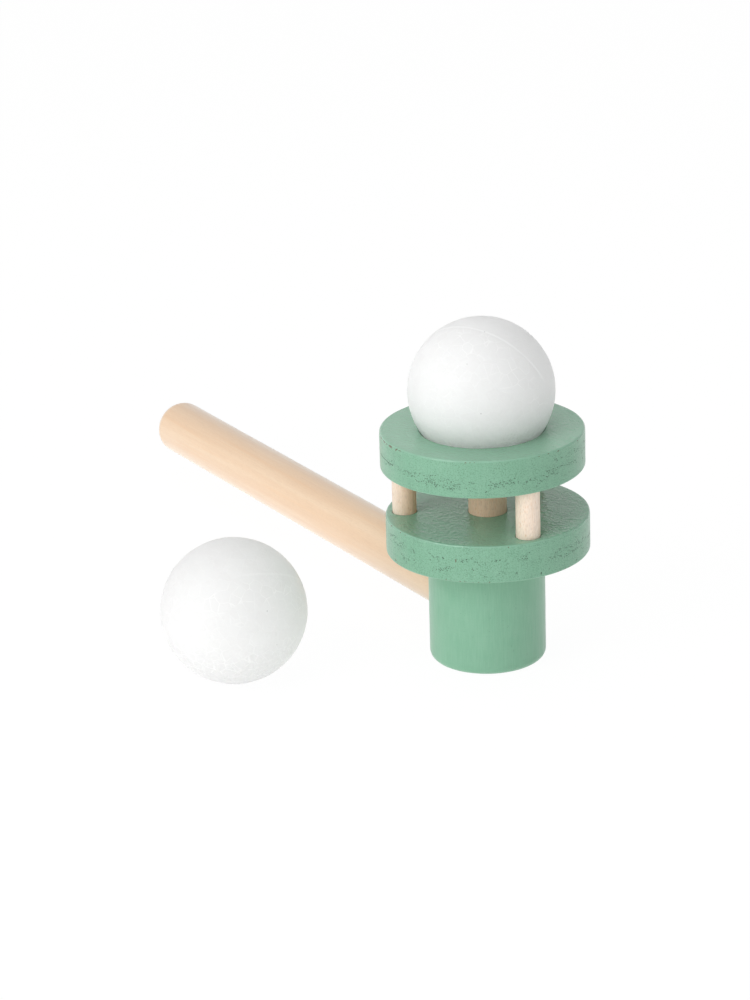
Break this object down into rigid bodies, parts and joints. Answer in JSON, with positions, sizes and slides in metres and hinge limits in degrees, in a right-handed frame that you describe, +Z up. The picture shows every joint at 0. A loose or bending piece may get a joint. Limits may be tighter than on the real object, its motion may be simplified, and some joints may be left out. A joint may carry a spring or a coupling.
{
  "type": "floating ball pipe toy",
  "caption": "Wooden breath toy: a bored mouth pipe feeds a turned cup and an upright jet, and above it a ring on pillars seats a light ball that floats on the air, with a loose spare ball.",
  "frame": {"origin": "middle of the cup's flat underside, on the cup's axis", "axes": "+Z up from the cup to the ball; -X along the mouth pipe, towards the mouth; the loose ball lies on the -Y side"},
  "size_m": [0.1841, 0.0997, 0.0847],
  "materials": {
    "green_paint": "satin",
    "natural_birch": "matte",
    "natural_maple": "satin",
    "foam": "matte"
  },
  "bodies": {
    "toy": {"blow_pipe": "natural_maple", "cup": "green_paint", "lower_disc": "green_paint", "nozzle": "natural_birch", "pillar_1": "natural_birch", "pillar_2": "natural_birch", "pillar_3": "natural_birch", "upper_ring": "green_paint"},
    "floating_ball": {"floating_ball": "foam"},
    "spare_ball": {"spare_ball": "foam"}
  },
  "joints": [
    {"name": "ball_float", "type": "slide", "parent": "toy", "child": "floating_ball", "axis": [0, 0, 1], "range_m": [0, 0.06]},
    {"name": "spare_lift", "type": "slide", "parent": "toy", "child": "spare_ball", "axis": [0, 0, 1], "range_m": [0, 0.1]}
  ]
}
